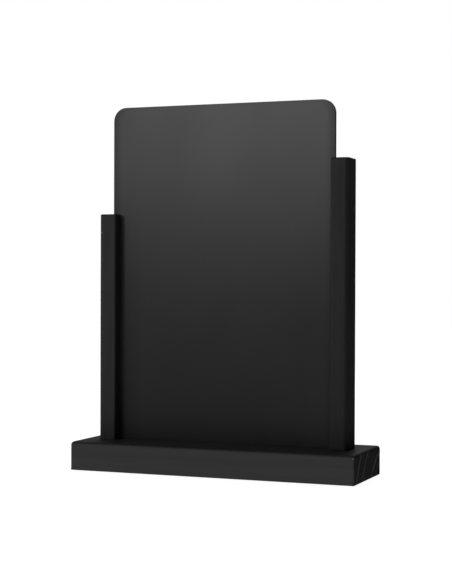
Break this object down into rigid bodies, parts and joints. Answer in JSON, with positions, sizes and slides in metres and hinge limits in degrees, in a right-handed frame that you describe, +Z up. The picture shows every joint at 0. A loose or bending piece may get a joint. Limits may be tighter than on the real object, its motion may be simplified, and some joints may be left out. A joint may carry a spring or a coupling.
{
  "type": "tabletop menu chalkboard stand",
  "caption": "Table-top menu chalkboard: a thin double-sided black panel that lifts out of two grooved wooden posts of unequal height on a plank base.",
  "frame": {"origin": "on the surface it stands on, under the middle of the base", "axes": "+Z up, +X along the base towards the taller post, -Y the way the front of the panel faces"},
  "size_m": [0.263, 0.08, 0.3263],
  "materials": {
    "black_lacquered_wood": "satin black lacquer, faint open grain",
    "chalk_laminate": "matt black writing laminate with a low satin sheen",
    "dyed_fibreboard": "black dyed fibreboard, sanded edge",
    "zinc_plated_steel": "bright zinc plate",
    "black_rubber": "matt black rubber"
  },
  "bodies": {
    "stand": {"base": "black_lacquered_wood", "left_upright": "black_lacquered_wood", "right_upright": "black_lacquered_wood", "left_front_screw": "zinc_plated_steel", "left_back_screw": "zinc_plated_steel", "right_front_screw": "zinc_plated_steel", "right_back_screw": "zinc_plated_steel", "left_front_foot": "black_rubber", "left_back_foot": "black_rubber", "right_front_foot": "black_rubber", "right_back_foot": "black_rubber"},
    "panel": {"panel_core": "dyed_fibreboard", "front_writing_sheet": "chalk_laminate", "back_writing_sheet": "chalk_laminate"}
  },
  "joints": [
    {"name": "panel_lift", "type": "slide", "parent": "stand", "child": "panel", "axis": [0, 0, 1], "range_m": [0, 0.26]}
  ]
}
